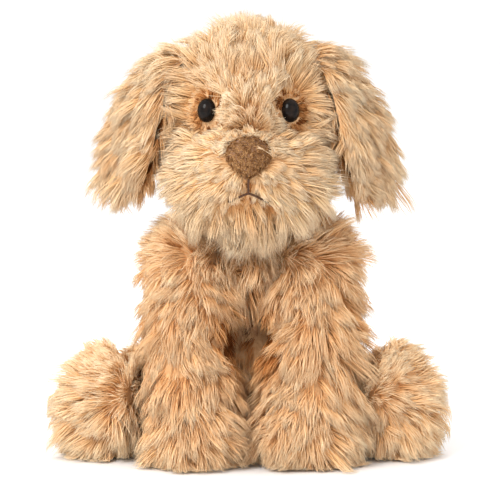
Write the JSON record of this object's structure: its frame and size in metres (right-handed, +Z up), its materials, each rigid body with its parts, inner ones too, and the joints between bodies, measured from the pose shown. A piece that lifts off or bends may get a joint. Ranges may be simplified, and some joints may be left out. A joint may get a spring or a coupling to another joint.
{
  "type": "plush dog",
  "caption": "Seated long-pile plush puppy with hanging ears, a velour nose, domed eyes and spread hind feet; its head, ears, legs and tail bend at stuffed joints.",
  "frame": {"origin": "middle of the bounding box's footprint, on the surface the dog sits on", "axes": "+Z up, the dog looks along -Y, its own left is +X"},
  "size_m": [0.1914, 0.1583, 0.224],
  "materials": {
    "pile": "long silky pile, golden tan",
    "pile_face": "long silky pile, pale cream gold",
    "sole": "pile backing, matt",
    "velour": "short brushed velour",
    "fibre": "loose polyester fibre",
    "pouch": "plain woven pouch of pellets",
    "eye": "gloss",
    "washer": "satin",
    "thread": "twisted thread, dark brown",
    "thread_light": "twisted thread, tan",
    "label": "blank satin ribbon"
  },
  "bodies": {
    "torso": {"torso_belly_panel": "pile", "torso_back_left_panel": "pile", "torso_back_right_panel": "pile", "torso_base_panel": "sole", "torso_filling": "fibre", "seat_pellet_pouch": "pouch", "closing_stitch": "thread_light", "sewn_in_label": "label"},
    "neck": {"neck_cover": "pile", "neck_filling": "fibre"},
    "head": {"head_left_panel": "pile_face", "head_right_panel": "pile_face", "head_gusset": "pile_face", "head_filling": "fibre", "muzzle_panel": "pile_face", "chin_panel": "pile_face", "muzzle_filling": "fibre", "nose_cover": "velour", "nose_pad": "fibre", "lip_stitch": "thread", "philtrum_stitch": "thread", "eye_left": "eye", "eye_right": "eye", "eye_washer_left": "washer", "eye_washer_right": "washer"},
    "ear_left": {"ear_left_outer_panel": "pile", "ear_left_inner_panel": "pile"},
    "ear_right": {"ear_right_outer_panel": "pile", "ear_right_inner_panel": "pile"},
    "front_leg_left": {"front_leg_left_outer_panel": "pile", "front_leg_left_inner_panel": "pile", "front_paw_left_sole": "sole", "front_leg_left_filling": "fibre", "front_leg_left_pellet_pouch": "pouch"},
    "front_leg_right": {"front_leg_right_outer_panel": "pile", "front_leg_right_inner_panel": "pile", "front_paw_right_sole": "sole", "front_leg_right_filling": "fibre", "front_leg_right_pellet_pouch": "pouch"},
    "hind_leg_left": {"hind_leg_left_outer_panel": "pile", "hind_leg_left_inner_panel": "pile", "hind_foot_left_heel_sole": "sole", "hind_leg_left_filling": "fibre", "hind_leg_left_pellet_pouch": "pouch"},
    "hind_leg_right": {"hind_leg_right_outer_panel": "pile", "hind_leg_right_inner_panel": "pile", "hind_foot_right_heel_sole": "sole", "hind_leg_right_filling": "fibre", "hind_leg_right_pellet_pouch": "pouch"},
    "tail": {"tail_left_panel": "pile", "tail_right_panel": "pile", "tail_filling": "fibre"}
  },
  "joints": [
    {"name": "head_turn", "type": "hinge", "parent": "torso", "child": "neck", "pos_m": [0, -0.0016, 0.126], "axis": [0, 0, 1], "range_deg": [-35, 35], "stiffness_Nm_per_rad": 0.3},
    {"name": "head_nod", "type": "hinge", "parent": "neck", "child": "head", "pos_m": [0, -0.0016, 0.126], "axis": [1, 0, 0], "range_deg": [-20, 10], "stiffness_Nm_per_rad": 0.4},
    {"name": "ear_left_lift", "type": "hinge", "parent": "head", "child": "ear_left", "pos_m": [0.0342, -0.0066, 0.209], "axis": [0, -1, 0], "range_deg": [-6, 80], "stiffness_Nm_per_rad": 0.05},
    {"name": "ear_right_lift", "type": "hinge", "parent": "head", "child": "ear_right", "pos_m": [-0.0342, -0.0066, 0.209], "axis": [0, 1, 0], "range_deg": [-6, 80], "stiffness_Nm_per_rad": 0.05},
    {"name": "front_leg_left_swing", "type": "hinge", "parent": "torso", "child": "front_leg_left", "pos_m": [0.031, -0.0156, 0.098], "axis": [-1, 0, 0], "range_deg": [-2, 50], "stiffness_Nm_per_rad": 0.3},
    {"name": "front_leg_right_swing", "type": "hinge", "parent": "torso", "child": "front_leg_right", "pos_m": [-0.031, -0.0156, 0.098], "axis": [-1, 0, 0], "range_deg": [-2, 50], "stiffness_Nm_per_rad": 0.3},
    {"name": "hind_leg_left_spread", "type": "hinge", "parent": "torso", "child": "hind_leg_left", "pos_m": [0.041, 0.0124, 0.03], "axis": [0, 0, 1], "range_deg": [-3, 35], "stiffness_Nm_per_rad": 0.3},
    {"name": "hind_leg_right_spread", "type": "hinge", "parent": "torso", "child": "hind_leg_right", "pos_m": [-0.041, 0.0124, 0.03], "axis": [0, 0, -1], "range_deg": [-3, 35], "stiffness_Nm_per_rad": 0.3},
    {"name": "tail_wag", "type": "hinge", "parent": "torso", "child": "tail", "pos_m": [0, 0.0464, 0.027], "axis": [0, 0, 1], "range_deg": [-30, 30], "stiffness_Nm_per_rad": 0.02}
  ]
}
